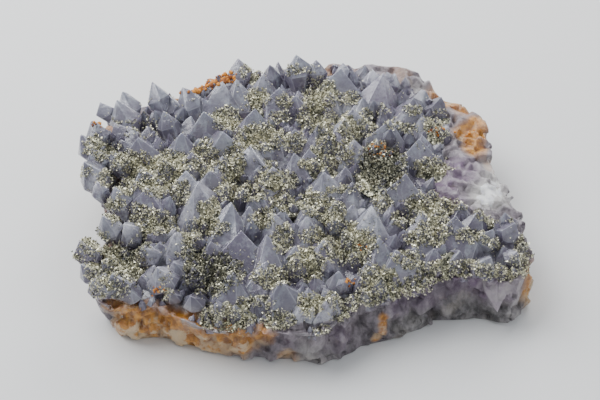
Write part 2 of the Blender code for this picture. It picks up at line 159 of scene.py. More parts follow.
# Fixed colours of the grown crystals; the facet and edge colours are painted highlights and painted shade.
LILAC = (0.265, 0.22, 0.315)
PAINTED_HIGHLIGHT_FACET = (0.42, 0.445, 0.51)
PAINTED_SHADE_FACET = (0.11, 0.10, 0.145)
VEIL = (0.47, 0.50, 0.565)
SMOKE = (0.17, 0.15, 0.21)
PURPLE_TINT = (0.34, 0.25, 0.39)
WHITE_CRYSTAL_AND_HIGHLIGHT = (0.78, 0.78, 0.84)
DARK_CRYSTAL = (0.12, 0.10, 0.15)
PAINTED_EDGE_HIGHLIGHT = (0.72, 0.74, 0.80)
STAINED_CRYSTAL = (0.47, 0.41, 0.31)

# Fixed colours of the broken faces.
DARK_BREAK = (0.09, 0.07, 0.085)
GREY_BREAK = (0.34, 0.295, 0.325)
SMOKY_BREAK = (0.03, 0.027, 0.03)
SNOWY_BREAK = (0.93, 0.93, 0.94)
GOLD_STAIN = (0.72, 0.34, 0.05)
CREAM_STAIN = (0.72, 0.58, 0.38)

# Fixed colours of the chalcopyrite and the rust; the nearly black ones are painted shade between the
# crystals and painted dark reflections.
CHALCOPYRITE_PAINTED_SHADE = (0.03, 0.031, 0.027)
CRUST_PAINTED_SHADE = (0.026, 0.028, 0.025)
BROWN_FILM = (0.34, 0.27, 0.13)
ORANGE_RUST = (0.68, 0.27, 0.04)

# The stage: the floor lies just under the specimen. Lights are name, place and size in metres,
# power in watts and colour.
FLOOR_SIZE = 4.0
FLOOR_DROP = 0.05
FLOOR_COLOUR = (0.74, 0.74, 0.73, 1.0)
LIGHTS = (
    ("key", (-0.40, 0.26, 0.60), 0.7, 10.0, (0.97, 0.985, 1.0)),
    ("fill", (0.50, -0.45, 0.45), 0.6, 1.3, (0.93, 0.96, 1.0)),
    ("rim", (0.25, 0.65, 0.40), 0.5, 4.0, (1.0, 1.0, 1.0)),
)
WORLD_COLOUR = (0.72, 0.75, 0.8, 1.0)
WORLD_STRENGTH = 0.74

# Chalcopyrite as seen: x, y, half width, half depth, how thickly it lies from 0 to 1.
PATCHES = [
    (23, 4, 7, 10, 1), (23, 9, 5, 5, 1), (-25, 26, 4.5, 5.5, 0.9), (-15.5, 36, 3.5, 5, 0.9),
    (-7, 34, 2.5, 4.5, 0.8), (-7.5, 27, 3.5, 3, 0.8), (3, 26, 5.5, 6, 1), (4.5, 38, 5.5, 8.5, 1),
    (-4, 51, 2.5, 4, 0.8), (1, 51, 2.5, 3, 0.6), (-18, 50, 3.5, 4.5, 0.9), (14, 36, 3, 3.5, 0.8),
    (-14, 17, 7, 6.5, 1), (6, 13, 3, 8, 0.9), (-4, 14, 3.5, 4.5, 0.9), (13, 21, 3, 6.5, 0.9),
    (19, 24, 2.5, 7, 0.8), (11.5, 12, 3, 3, 0.7), (33, 30, 2.5, 3, 0.8), (27, 23, 3, 3, 0.6),
    (31.5, 21.5, 3, 3, 0.7), (39, 23, 3, 5, 0.9), (41.5, 17, 3, 3, 0.7), (42, 27, 3, 4, 0.7),
    (-65, 13, 3, 5, 0.9), (-59, 12, 3, 3, 0.7), (-62, 8, 3, 3, 0.7), (-67, 1, 3, 3, 0.7),
    (-52, 5, 6, 5, 1), (-51, 22, 5, 6, 0.45), (-41, 5, 5.5, 5.5, 1), (-31, 7, 4, 8, 0.9),
    (-58, -2, 4.5, 4, 0.9), (-53, -6, 3, 3.5, 0.9), (-45, -5, 5, 5, 0.9), (-37, -8, 2.5, 5, 0.9),
    (-56, -15, 3.5, 4.5, 0.9), (-49, -16, 3.5, 3.5, 0.9), (-44, -19, 5.5, 4, 1),
    (-29, -14, 3.5, 3.5, 0.9), (-29, -21, 6, 3, 0.9), (-34, -26, 3, 4.5, 0.9),
    (-61, -26, 4.5, 4.5, 0.9), (-61, -36, 2.5, 3.5, 0.8), (-52, -33, 6, 5.5, 1),
    (-56, -42, 5.5, 4.5, 0.9), (-41, -38, 2.5, 2.5, 0.7), (-40, -44, 2.5, 2.5, 0.7),
    (-27, -37, 8, 7, 1), (-33, -30, 4, 3, 0.8), (-27, -53, 3, 4.5, 0.9), (-22, 4, 3.5, 9.5, 1),
    (-23, -8, 3.5, 4, 0.9), (-11.5, 4, 2.5, 2.5, 0.6), (4, 4, 6.5, 3, 1), (12.5, 8, 3, 3, 0.8),
    (-9, -3, 6.5, 4, 1), (-16, -8, 4, 4, 1), (-7, -12, 3.5, 3.5, 0.9), (2, -12, 4, 4.5, 1),
    (11, -7, 6, 1.6, 0.9), (7, -16, 4, 4.5, 1), (-13, -18, 4, 3.5, 0.9), (-7, -25, 3, 5, 0.9),
    (2, -24, 3.5, 3, 0.8), (12, -27, 8, 7, 0.8), (0, -34, 5.5, 5.5, 1), (-10, -38, 5, 4, 0.9),
    (-17, -47, 3.5, 2.5, 0.8), (-21, -54, 5.5, 4.5, 0.9), (-8, -54, 4.5, 4, 0.9),
    (1, -48, 3.5, 4, 0.9), (8, -46, 3, 3, 0.7), (12, -48, 3, 3, 0.7), (9, -52, 3, 3, 0.6),
    (4, -58, 3, 3, 0.6), (37, 3, 5, 4, 1), (43, 4, 3.5, 2.5, 0.9), (27.5, 8, 2.5, 3, 0.8),
    (37, -13, 8, 4.5, 1), (53, -17, 3.5, 2.5, 0.9), (37, -22, 5, 5, 1), (47, -24, 4, 2.5, 0.9),
    (22, -12, 3.5, 3, 0.7), (28, -18, 3.5, 3, 0.8), (31, -25, 3, 3, 0.8), (53, -27, 3.5, 2.5, 0.8),
    (29, -32, 4, 3, 0.8), (20, -38, 4.5, 4, 0.9), (18, -45, 4.5, 3.5, 1), (25, -43, 5, 3.5, 1),
    (31, -41, 4.5, 3.5, 1), (37, -36, 5, 3.5, 1), (45, -35, 5, 3, 1), (51, -36, 4, 2.5, 0.9),
    (57, -36, 3.5, 3.5, 0.9), (61, -34, 3, 4, 0.9), (63, -28, 3, 5, 0.6), (62, -20, 3, 4, 0.5),
    (-66, -31, 3, 4, 0.5), (-48, -26, 3, 3, 0.5), (-12, -47, 3, 3, 0.5), (24, 30, 2.5, 4, 0.45),
    (-36, 33, 3, 3, 0.4), (-45, 37, 3, 3, 0.3), (-58, 27, 4, 4, 0.35), (19, -5, 3, 3, 0.5),
]

# Patches whose crystals are dull and dark, as seen.
DULL_PATCHES = [(23, 3, 7, 8, 1.0), (-28, -36, 8, 7, 0.8), (-49, -30, 4, 4, 0.4), (30, -39, 8, 3, 0.3)]

# Rust grains as seen: x, y, half width, half depth, how thickly they lie.
RUST_SPOTS = [
    (-37, 40, 4, 3, 1), (-32, 44, 4.5, 3.5, 1), (-26, 47, 3.5, 3.5, 1), (-65.5, 23, 2, 3, 0.8),
    (22, 11, 4, 3.5, 0.5), (40, 20, 2, 2.5, 0.9), (48, 20, 2.5, 3, 0.5), (12.5, -40, 1.6, 2, 0.7),
    (16.5, -27, 2, 2, 0.5), (-42, -43, 2, 2, 0.6), (52, 23, 2, 3, 0.4),
]

# Pale and dark quartz as seen: x, y, half width, half depth, how strongly. The pale places are partly milky
# quartz and partly painted highlights on bright tips and edges.
PALE_QUARTZ_AND_HIGHLIGHTS = [
    (-53.5, -20, 3, 4, 1), (-62.5, -4, 2.5, 3.5, 0.8), (-34, -7, 3, 6, 0.6), (-38.5, -23, 2.5, 3, 0.8),
    (-43, -37, 5, 6, 0.6), (-17, 13, 4, 4, 0.5), (-10, 4, 3, 3, 0.6), (-9.5, -16, 3, 3, 0.6),
    (0, -17, 3, 3, 0.5), (17.5, -15, 5, 4, 0.75), (13, 28, 6, 6, 0.8), (24.5, 47, 8, 6, 0.8),
    (-27, 43, 4, 4, 0.5), (-13.6, 47, 3, 4, 0.5), (36, 29, 2.5, 4, 0.6), (14.5, 17, 3.5, 3, 0.7),
    (-22.5, 58, 4, 3, 0.4), (1, -52, 5, 4, 0.9), (5.5, -52, 3, 3, 0.8), (61, -29, 3, 4, 0.5),
    (8, -1, 2.5, 2.5, 0.8), (6, -33, 4, 3, 0.5), (-33, -50, 3, 3, 0.6), (7, -41, 4, 3, 0.6),
    (-58, 33, 4, 5, 0.3), (52, -30, 5, 4, 0.4), (29, 52, 5, 4, 0.5), (-7, 4, 3, 3, 0.4),
]
DARK_QUARTZ = [
    (13.5, -4, 4, 4, 0.8), (4, 22, 5, 5, 0.6), (-52, 16, 6, 5, 0.4), (44, -16, 5, 4, 0.7),
    (-54, -48, 4, 3, 0.8), (-33, -45, 4, 3, 0.8), (36, 34, 5, 4, 0.5), (20, -11, 4, 3, 0.4),
    (-29, -33, 8, 6, 0.7), (30, -2, 6, 5, 0.35), (-20, -38, 5, 4, 0.4), (-8, -40, 5, 4, 0.35),
    (24, -3, 6, 6, 0.6), (35, -18, 5, 4, 0.4), (48, -22, 5, 4, 0.5), (-45, 22, 6, 5, 0.35),
]


def smooth(share):
    """Eases shares from 0 to 1, level at both ends."""
    share = np.clip(share, 0.0, 1.0)
    return share * share * (3.0 - 2.0 * share)


def druse_level(y):
    """Height of the hollows between the points."""
    share = smooth((y - LEVEL_START_Y) / (LEVEL_END_Y - LEVEL_START_Y))
    return FRONT_LEVEL + (BACK_LEVEL - FRONT_LEVEL) * share


def seen_at(points):
    """Where the photograph shows each point, as x and y on the surface that patches are placed on."""
    eye = np.array(VIEW_POINT)
    ray = points - eye
    share = np.ones(len(points))
    for _ in range(5):
        y = eye[1] + share * ray[:, 1]
        share = (druse_level(y) + SEEN_RISE - eye[2]) / ray[:, 2]
    return (eye + share[:, None] * ray)[:, :2]


def cover(places, patches):
    """How thickly patches lie at each place, from 0 outside them to 1."""
    found = np.zeros(len(places))
    for x, y, half_x, half_y, amount in patches:
        off = np.hypot((places[:, 0] - x) / half_x, (places[:, 1] - y) / half_y)
        found = np.maximum(found, amount * smooth((1.5 - off) / 0.8))
    return found


def zone_tone(points):
    """How pale or, below zero, how dark the quartz is at each point; the paleness is partly painted
    highlight.
    """
    seen = seen_at(points)
    return cover(seen, PALE_QUARTZ_AND_HIGHLIGHTS) - cover(seen, DARK_QUARTZ)


def noise_at(points, size, seed=0.0):
    """Smooth noise between about -1 and 1 at each point, with lumps of the given size."""
    return np.array([noise.noise(Vector((x / size + seed, y / size, z / size))) for x, y, z in points])


def deselect_all():
    """Leaves no object selected."""
    bpy.ops.object.select_all(action="DESELECT")


def make_active(obj):
    """Selects one object alone."""
    deselect_all()
    obj.select_set(True)
    bpy.context.view_layer.objects.active = obj


def mesh_arrays(obj):
    """Vertices in millimetres, and triangles, of an object's mesh."""
    mesh = obj.data
    mesh.calc_loop_triangles()
    points = np.empty(len(mesh.vertices) * 3)
    mesh.vertices.foreach_get("co", points)
    triangles = np.empty(len(mesh.loop_triangles) * 3, np.int64)
    mesh.loop_triangles.foreach_get("vertices", triangles)
    return points.reshape(-1, 3) / MM, triangles.reshape(-1, 3)


def finish_piece(obj, material, slot, *nodes):
    """Gives a piece its material and its body, and hides the nodes that it stands for. The slot is not
    used.
    """
    obj.data.materials.clear()
    obj.data.materials.append(material)
    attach(obj, BODY)
    if nodes:
        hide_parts(*nodes)
    deselect_all()


def set_attribute(obj, name, values):
    """Stores one number a vertex, for the material to read."""
    attribute = obj.data.attributes.get(name) or obj.data.attributes.new(name, "FLOAT", "POINT")
    attribute.data.foreach_set("value", np.asarray(values, np.float32))


def set_facet_light(obj, dice):
    """Stores one random number a face, for the material to paint some facets lighter and some darker, as
    painted highlight and shade.
    """
    facet_light = obj.data.attributes.new("facet_light", "FLOAT", "FACE")
    facet_light.data.foreach_set("value", dice.random(len(obj.data.polygons)).astype(np.float32))


def surface_tree(obj):
    """A tree of an object's triangles, in millimetres, for rays to meet."""
    points, triangles = mesh_arrays(obj)
    return BVHTree.FromPolygons(points.tolist(), triangles.tolist())


def point_tree(points):
    """A tree that finds the nearest of some points."""
    tree = KDTree(len(points))
    for i, point in enumerate(points.tolist()):
        tree.insert(point, i)
    tree.balance()
    return tree


class Nodes:
    """Short ways to add and join the shader nodes of one material."""

    def __init__(self, name):
        self.material = bpy.data.materials.new(name)
        self.material.use_nodes = True
        self.tree = self.material.node_tree
        self.shader = self.tree.nodes["Principled BSDF"]

    def add(self, kind, **values):
        """A new node, with its own settings."""
        node = self.tree.nodes.new("ShaderNode" + kind)
        for key, value in values.items():
            setattr(node, key, value)
        return node

    def feed(self, socket, source):
        """Joins a socket to another one, or gives it a fixed value."""
        if isinstance(source, bpy.types.NodeSocket):
            self.tree.links.new(source, socket)
        else:
            socket.default_value = source

    def value(self, name):
        """A vertex attribute."""
        return self.add("Attribute", attribute_name=name).outputs["Fac"]

    def place(self, stretch=(1.0, 1.0, 1.0)):
        """Object coordinates, stretched."""
        mapping = self.add("Mapping")
        mapping.inputs["Scale"].default_value = stretch
        self.feed(mapping.inputs["Vector"], self.add("TexCoord").outputs["Object"])
        return mapping.outputs["Vector"]

    def noise(self, size, detail=3.0, roughness=0.5, stretch=(1.0, 1.0, 1.0)):
        """Noise with lumps of a size in millimetres."""
        node = self.add("TexNoise")
        node.inputs["Scale"].default_value = 1.0 / (size * MM)
        node.inputs["Detail"].default_value = detail
        node.inputs["Roughness"].default_value = roughness
        self.feed(node.inputs["Vector"], self.place(stretch))
        return node.outputs["Fac"]

    def cells(self, size):
        """A node of cells of a size in millimetres."""
        node = self.add("TexVoronoi")
        node.inputs["Scale"].default_value = 1.0 / (size * MM)
        self.feed(node.inputs["Vector"], self.place())
        return node

    def range(self, source, low, high, to_low=0.0, to_high=1.0):
        """A value moved from one range to another, and held inside it."""
        node = self.add("MapRange")
        for key, number in (("From Min", low), ("From Max", high), ("To Min", to_low), ("To Max", to_high)):
            node.inputs[key].default_value = number
        self.feed(node.inputs["Value"], source)
        return node.outputs["Result"]

    def math(self, operation, first, second):
        """A sum or product, each part a socket or a number."""
        node = self.add("Math", operation=operation)
        self.feed(node.inputs[0], first)
        self.feed(node.inputs[1], second)
        return node.outputs["Value"]

    def mix(self, share, first, second):
        """A blend of two colours, each a socket or three numbers."""
        node = self.add("Mix", data_type="RGBA")
        for key, source in (("A", first), ("B", second)):
            fixed = not isinstance(source, bpy.types.NodeSocket)
            self.feed(node.inputs[key], (*source, 1.0) if fixed else source)
        self.feed(node.inputs["Factor"], share)
        return node.outputs["Result"]

    def bump(self, height, strength, distance, normal=None):
        """Bump from a height, with its depth in millimetres."""
        node = self.add("Bump")
        self.feed(node.inputs["Strength"], strength)
        self.feed(node.inputs["Distance"], distance * MM)
        self.feed(node.inputs["Height"], height)
        if normal:
            self.feed(node.inputs["Normal"], normal)
        return node.outputs["Normal"]

    def set(self, **values):
        """Sets the shader's own sockets, with underscores for the spaces in their names."""
        for key, value in values.items():
            self.feed(self.shader.inputs[key.replace("_", " ")], value)
        return self.material


def colour_setting(name, description, default):
    """A colour that a user can change."""
    return bpy.props.FloatVectorProperty(
        name=name, description=description, subtype="COLOR", default=default
    )


class SpecimenSettings(bpy.types.PropertyGroup):
    """Sizes and colours of the specimen."""

    quartz_colour: colour_setting(
        "Quartz", "Colour of the quartz points", (0.275, 0.268, 0.33)
    )
    # Clearer tips, made paler by painted light let through them.
    lit_tip_colour: colour_setting(
        "Quartz tips", "Colour of the clearer tips of the quartz points", (0.36, 0.39, 0.455)
    )
    # Painted shade: the quartz is darker low in the hollows between the points.
    hollow_shade_colour: colour_setting(
        "Quartz hollows", "Colour of the quartz between the points", (0.235, 0.21, 0.27)
    )
    amethyst_colour: colour_setting(
        "Amethyst", "Colour of the purple broken quartz", (0.19, 0.105, 0.21)
    )
    milky_colour: colour_setting(
        "Milky quartz", "Colour of the white broken quartz", (0.62, 0.60, 0.57)
    )
    ochre_colour: colour_setting(
        "Ochre stain", "Colour of the iron stain on the broken sides", (0.40, 0.15, 0.015)
    )
    rust_colour: colour_setting(
        "Rust", "Colour of the darkest iron stain", (0.20, 0.05, 0.010)
    )
    brass_colour: colour_setting(
        "Chalcopyrite", "Colour of the bright chalcopyrite crystals", (0.96, 0.92, 0.68)
    )
    tarnish_colour: colour_setting(
        "Tarnish", "Colour of the dull chalcopyrite crystals", (0.40, 0.39, 0.29)
    )
    grain_size: bpy.props.FloatProperty(
        name="Chalcopyrite size",
        description="Mean size of a chalcopyrite crystal",
        unit="LENGTH",
        default=0.47 * MM,
        min=0.1 * MM,
    )
    samples_per_area: bpy.props.FloatProperty(
        name="Chalcopyrite density",
        description="Crystals that are tried on each square millimetre, before gaps are left",
        default=17.0,
        min=0.1,
    )
    seed: bpy.props.IntProperty(
        name="Seed",
        description="Start of everything that is drawn at random",
        default=7,
    )


def settings():
    """The sizes and colours that the sidebar holds."""
    return bpy.context.scene.specimen


def grown_colour(n, own):
    """Grey-lilac crystals with veils, stains and dark places; clearer tips made paler by painted light,
    painted shade in the hollows, painted highlight and shade on the facets, painted highlight on the edges,
    and pale places partly milky, partly painted highlight.
    """
    rise = n.value("rise")
    facet_light = n.value("facet_light")
    pale = n.value("pale")
    tone = n.range(n.noise(9.0, detail=4.0), 0.3, 0.7)
    # Painted light: the tips are paler and bluer, as if lit through; they are also clearer.
    clear = n.math("MULTIPLY", n.range(rise, 4.0, 9.5), n.range(tone, 0.0, 1.0, 0.45, 1.0))
    # Painted shade: the quartz is darker low in the hollows between the points.
    body = n.mix(n.range(rise, 0.0, 5.0), own.hollow_shade_colour, own.quartz_colour)
    body = n.mix(clear, body, own.lit_tip_colour)
    body = n.mix(n.range(n.noise(15.0, detail=2.0), 0.42, 0.62, 0.0, 0.55), body, LILAC)
    # Painted highlight on some facets and painted shade on others, at random.
    body = n.mix(n.range(facet_light, 0.55, 1.0, 0.0, 0.34), body, PAINTED_HIGHLIGHT_FACET)
    body = n.mix(n.range(facet_light, 0.45, 0.0, 0.0, 0.38), body, PAINTED_SHADE_FACET)
    veils = n.noise(2.6, detail=6.0, roughness=0.68, stretch=(1.0, 1.0, 0.45))
    body = n.mix(n.range(veils, 0.50, 0.62, 0.0, 0.72), body, VEIL)
    body = n.mix(n.range(n.noise(4.2, detail=3.0), 0.45, 0.30, 0.0, 0.6), body, SMOKE)
    body = n.mix(n.math("MULTIPLY", n.value("purple"), 0.6), body, PURPLE_TINT)
    milk = n.range(n.noise(1.9, detail=6.0, roughness=0.7), 0.40, 0.55, 0.1, 1.0)
    # Pale places: partly milky quartz, partly painted highlight on bright tips and edges.
    body = n.mix(n.math("MULTIPLY", n.range(pale, 0.0, 1.0, 0.0, 0.95), milk), body, WHITE_CRYSTAL_AND_HIGHLIGHT)
    body = n.mix(n.range(pale, 0.0, -1.0, 0.0, 0.75), body, DARK_CRYSTAL)
    # Painted highlight on the blunted edges.
    body = n.mix(n.range(n.value("edge"), 0.0, 1.0, 0.0, 0.22), body, PAINTED_EDGE_HIGHLIGHT)
    return n.mix(n.range(n.value("stain"), 0.25, 0.9, 0.0, 0.5), body, STAINED_CRYSTAL)


def broken_colour(n, own):
    """Dark and grey breaks with purple, milky, smoky and snowy places, stained ochre and rust."""
    blotch = n.noise(3.0, detail=6.0, roughness=0.62, stretch=(1.0, 1.0, 0.5))
    fracture = n.mix(n.range(blotch, 0.38, 0.62), DARK_BREAK, GREY_BREAK)
    for name, low, high, least, colour in (
        ("purple", 0.62, 0.40, 0.35, own.amethyst_colour),
        ("milky", 0.30, 0.50, 0.5, own.milky_colour),
        ("smoky", 0.66, 0.40, 0.35, SMOKY_BREAK),
    ):
        share = n.math("MULTIPLY", n.value(name), n.range(blotch, low, high, least, 1.0))
        fracture = n.mix(share, fracture, colour)
    snow = n.math("ADD", n.value("snow"), n.range(blotch, 0.3, 0.7, -0.25, 0.25))
    fracture = n.mix(n.range(snow, 0.42, 0.58), fracture, SNOWY_BREAK)
    stain = n.value("stain")
    stained = n.math("MULTIPLY", n.range(stain, 0.15, 0.7), n.range(blotch, 0.30, 0.52, 0.5, 1.0))
    gold = n.noise(2.1, detail=5.0, roughness=0.6)
    fracture = n.mix(stained, fracture, n.mix(n.range(gold, 0.42, 0.62), own.ochre_colour, GOLD_STAIN))
    lower = n.range(n.value("rise"), -4.0, -12.0, -0.07, 0.09)
    cream = n.math("ADD", n.noise(4.5, detail=5.0, roughness=0.6), lower)
    creamy = n.math("MULTIPLY", stain, n.range(cream, 0.51, 0.58, 0.0, 0.8))
    fracture = n.mix(creamy, fracture, CREAM_STAIN)
    seams = n.range(n.noise(5.0, detail=8.0, roughness=0.75), 0.56, 0.66)
    rusty = n.math("MULTIPLY", n.math("MULTIPLY", stain, seams), 0.85)
    return n.mix(rusty, fracture, own.rust_colour)


def quartz_relief(n, broken):
    """Growth lines and waves on the crystals, and grit and chips on the broken faces."""
    growth = n.noise(1.4, detail=4.0, roughness=0.6, stretch=(1.0, 1.0, 2.6))
    grown = n.bump(growth, 0.5, 0.26, n.bump(n.noise(3.4, detail=2.0), 0.55, 0.9))
    chips = n.math("MULTIPLY", n.cells(5.5).outputs["Distance"], 0.35)
    grit = n.math("ADD", n.noise(1.1, detail=9.0, roughness=0.72), chips)
    return n.bump(grit, n.range(broken, 0.0, 1.0, 0.0, 0.8), 0.7, grown)


def quartz_material():
    """Cloudy quartz that lets some light through, duller where it is broken."""
    own = settings()
    n = Nodes("quartz")
    broken = n.value("broken")
    dull = n.range(n.noise(6.0, detail=3.0), 0.35, 0.65, 0.08, 0.26)
    return n.set(
        Base_Color=n.mix(broken, grown_colour(n, own), broken_colour(n, own)),
        Roughness=n.math("ADD", dull, n.range(broken, 0.0, 1.0, 0.0, 0.26)),
        Normal=quartz_relief(n, broken),
        IOR=1.54,
        Transmission_Weight=n.range(broken, 0.0, 1.0, 0.42, 0.2),
        Subsurface_Weight=0.5,
        Subsurface_Radius=(1.0, 0.95, 1.1),
        Subsurface_Scale=1.8 * MM,
        Coat_Weight=0.3,
        Coat_Roughness=0.12,
    )


def chalcopyrite_material(name):
    """Brass-coloured crystals, some bright, some tarnished olive, and some nearly black as painted shade
    and painted dark reflections.
    """
    own = settings()
    n = Nodes(name)
    tone = n.value("tone")
    # Painted shade and painted dark reflections: the lowest tones are nearly black.
    colour = n.mix(n.range(tone, 0.0, 0.55), CHALCOPYRITE_PAINTED_SHADE, own.tarnish_colour)
    colour = n.mix(n.range(tone, 0.42, 0.85), colour, own.brass_colour)
    colour = n.mix(n.range(n.noise(5.0, detail=3.0), 0.55, 0.75, 0.0, 0.25), colour, BROWN_FILM)
    return n.set(
        Base_Color=colour,
        Roughness=n.range(n.noise(1.6), 0.3, 0.7, 0.32, 0.5),
        Metallic=0.7,
        Normal=n.bump(n.noise(0.35, detail=4.0), 0.3, 0.06),
    )


def crust_material():
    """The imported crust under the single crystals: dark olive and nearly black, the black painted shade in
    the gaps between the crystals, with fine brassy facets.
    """
    own = settings()
    n = Nodes("chalcopyrite_crust")
    cells = n.cells(0.8)
    split = n.add("SeparateColor")
    n.feed(split.inputs["Color"], cells.outputs["Color"])
    tone = split.outputs["Red"]
    # Painted shade: the darkest cells, seen in the gaps between the single crystals, are nearly black.
    colour = n.mix(n.range(tone, 0.0, 0.6), CRUST_PAINTED_SHADE, own.tarnish_colour)
    colour = n.mix(n.range(tone, 0.72, 0.95), colour, own.brass_colour)
    height = n.math("ADD", n.math("MULTIPLY", cells.outputs["Distance"], -1.0), tone)
    return n.set(Base_Color=colour, Roughness=0.36, Metallic=0.8, Normal=n.bump(height, 0.9, 0.5))


def rust_material():
    """Orange and brown iron oxide grains."""
    own = settings()
    n = Nodes("rust_grains")
    colour = n.mix(n.range(n.value("tone"), 0.0, 0.7), own.rust_colour, ORANGE_RUST)
    return n.set(Base_Color=colour, Roughness=0.7, Normal=n.bump(n.noise(0.4, detail=5.0), 0.5, 0.1))


# The bare broken zone at the right, seen from above.
BARE_EDGE = [
    (70, -13), (56, -10), (50, -9), (45, -6), (40, -1), (36, 6), (41, 14), (43, 23), (45, 31),
    (46, 38), (41, 44), (36, 47), (35, 53), (27, 59), (17, 60), (12, 72), (80, 72), (80, -13),
]
# Stains and milky places on the broken faces: x, y, z, reach, amount.
STAINS = [
    (-50, -42, 7, 12, 1.0), (-36, -45, 7, 12, 1.0), (-22, -49, 9, 9, 0.95), (-12, -50, 11, 5, 0.7),
    (-6, -50, 3, 4, 0.6), (-28, -49, 3, 7, 0.8), (22, -41, 10, 1.8, 0.7),
    (22, -41.5, 7.5, 1.8, 0.8), (21.5, -42, 5, 2, 0.8), (20.5, -42.5, 2.5, 2.2, 0.7),
    (67, -24, 9, 8, 1.0), (66, -24, 4, 6, 0.9), (63, -27, 8, 4, 0.6), (66, -16, 9, 8, 0.9),
    (52, 31, 18.5, 6.5, 1.0), (53, 24, 18.5, 5, 0.9), (55, 36, 18, 5, 1.0),
    (46, 48, 18, 6, 0.8), (42, 52, 18, 5, 0.6), (50, 42, 18, 5, 0.6),
    (30, 62, 17, 9, 0.35), (10, 65, 12, 14, 0.45), (-20, 62, 12, 14, 0.6), (-38, 48, 14, 12, 0.8),
    (-60, 38, 12, 12, 0.6), (-64, 12, 10, 12, 0.5), (-60, -20, 8, 12, 0.6), (62, 6, 8, 9, 0.4),
    (60, 20, 10, 9, 0.5),
]
MILKY = [
    (56, 2, 19, 7, 1.0), (53, -2, 19, 5, 0.8), (60, 12, 18, 9, 0.8), (61, 4, 14, 8, 0.5),
    (-52, -42, 3, 7, 0.8), (-30, -46, 10, 6, 0.5), (30, -36, 2, 8, 0.6), (45, -31, 2, 8, 0.55),
    (57, -33, 3, 8, 0.55), (2, -50, 3, 9, 0.35), (38, 55, 17, 7, 0.35), (64, -8, 4, 9, 0.5),
    (0, 65, 6, 12, 0.6), (-62, 20, 5, 12, 0.6), (-58, -8, 5, 9, 0.5), (35, 62, 6, 10, 0.6),
    (-44, -44, 3, 6, 0.6), (0, -52, 5, 5, 0.5), (55.5, -34, 13, 4.5, 0.5),
]
SMOKY = [
    (30, -36, 3, 10, 0.9), (42, -31, 4, 10, 0.9), (54, -32, 4, 9, 0.9), (64, -27, 3, 6, 0.7),
    (20, -42, 4, 9, 0.5), (40, -32, 13, 7, 0.7), (30, -36, 12, 7, 0.6), (6, -50, 5, 9, 0.35),
    (-10, -51, 7, 5, 0.5),
]
SNOW = [(56.5, 3.5, 19, 4.4, 1.0), (54.0, -0.5, 19, 3.4, 1.0), (58, 9, 18.5, 3.0, 0.55)]
BULGES = [(55.5, -33, 12, 5, 1.0), (-46, -44, 8, 6, 0.6), (2, -51, 8, 5, 0.5)]
PURPLE = [
    (25, 46, 27, 8, 0.8),
    (40, 6, 19, 8, 1.0), (48, 13, 18, 8, 0.9), (44, -3, 19, 7, 0.7), (40, -32, 13, 9, 0.9),
    (30, -36, 12, 8, 0.8), (55, -33, 12, 6, 1.0), (48, -32, 13, 6, 0.8), (8, -48, 8, 6, 0.6),
    (-8, -51, 8, 6, 0.4), (-20, -50, 5, 5, 0.35), (62, -10, 12, 7, 0.4),
]


def inside(polygon, points):
    """Whether each point lies in a polygon, seen from above."""
    found = np.zeros(len(points), bool)
    for (x1, y1), (x2, y2) in zip(polygon, polygon[1:] + polygon[:1]):
        if y1 == y2:
            continue
        crosses = (y1 > points[:, 1]) != (y2 > points[:, 1])
        found ^= crosses & (points[:, 0] < (x2 - x1) * (points[:, 1] - y1) / (y2 - y1) + x1)
    return found


def near_places(points, places):
    """How strongly each point is touched by soft round places, from 0 to 1."""
    found = np.zeros(len(points))
    for x, y, z, reach, amount in places:
        off = np.linalg.norm(points - np.array((x, y, z)), axis=1) / reach
        found = np.maximum(found, amount * smooth(1.3 - off))
    return found


@functools.cache
def side_tree():
    """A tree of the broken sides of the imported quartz, seen from above."""
    sides, _ = mesh_arrays(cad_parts[QUARTZ_NODE])
    rise = sides[:, 2] - druse_level(sides[:, 1])
    sides = sides[(rise < -SIDE_DEPTH) & (sides[:, 2] > LOWEST_SIDE) & (sides[:, 2] < HIGHEST_SIDE)]
    sides[:, 2] = 0.0
    return point_tree(sides)


def side_distance(points):
    """How far each point lies from the broken sides, seen from above."""
    tree = side_tree()
    return np.array([tree.find((x, y, 0.0))[2] for x, y, _ in points.tolist()])


def broken_share(points):
    """How much each point belongs to the broken faces and not to the grown ones."""
    rise = points[:, 2] - druse_level(points[:, 1])
    apart = side_distance(points)
    outer = (apart < HOLLOW_DISTANCE) | (points[:, 2] < LOWEST_HOLLOW)
    below = smooth(-BROKEN_DEPTH - rise) * outer
    bare = inside(BARE_EDGE, points) & (rise < BARE_RISE)
    ledge = smooth((LEDGE_WIDTH - apart) / LEDGE_FADE) * (rise < LEDGE_RISE)
    return np.maximum(np.maximum(below, bare), ledge)


def fracture_offset(points, dice):
    """Depth of flat chips broken at odd angles: each point follows the plane of its nearest chip."""
    low, high = points.min(axis=0), points.max(axis=0)
    count = int(np.prod((high - low + FRACTURE_CELL) / FRACTURE_CELL))
    centres = dice.uniform(low, high, (count, 3))
    tilts = dice.normal(0.0, FRACTURE_TILT, (count, 3))
    tree = point_tree(centres)
    nearest = np.array([tree.find(point)[1] for point in points.tolist()])
    return np.clip(((points - centres[nearest]) * tilts[nearest]).sum(axis=1), -1.0, 1.0)


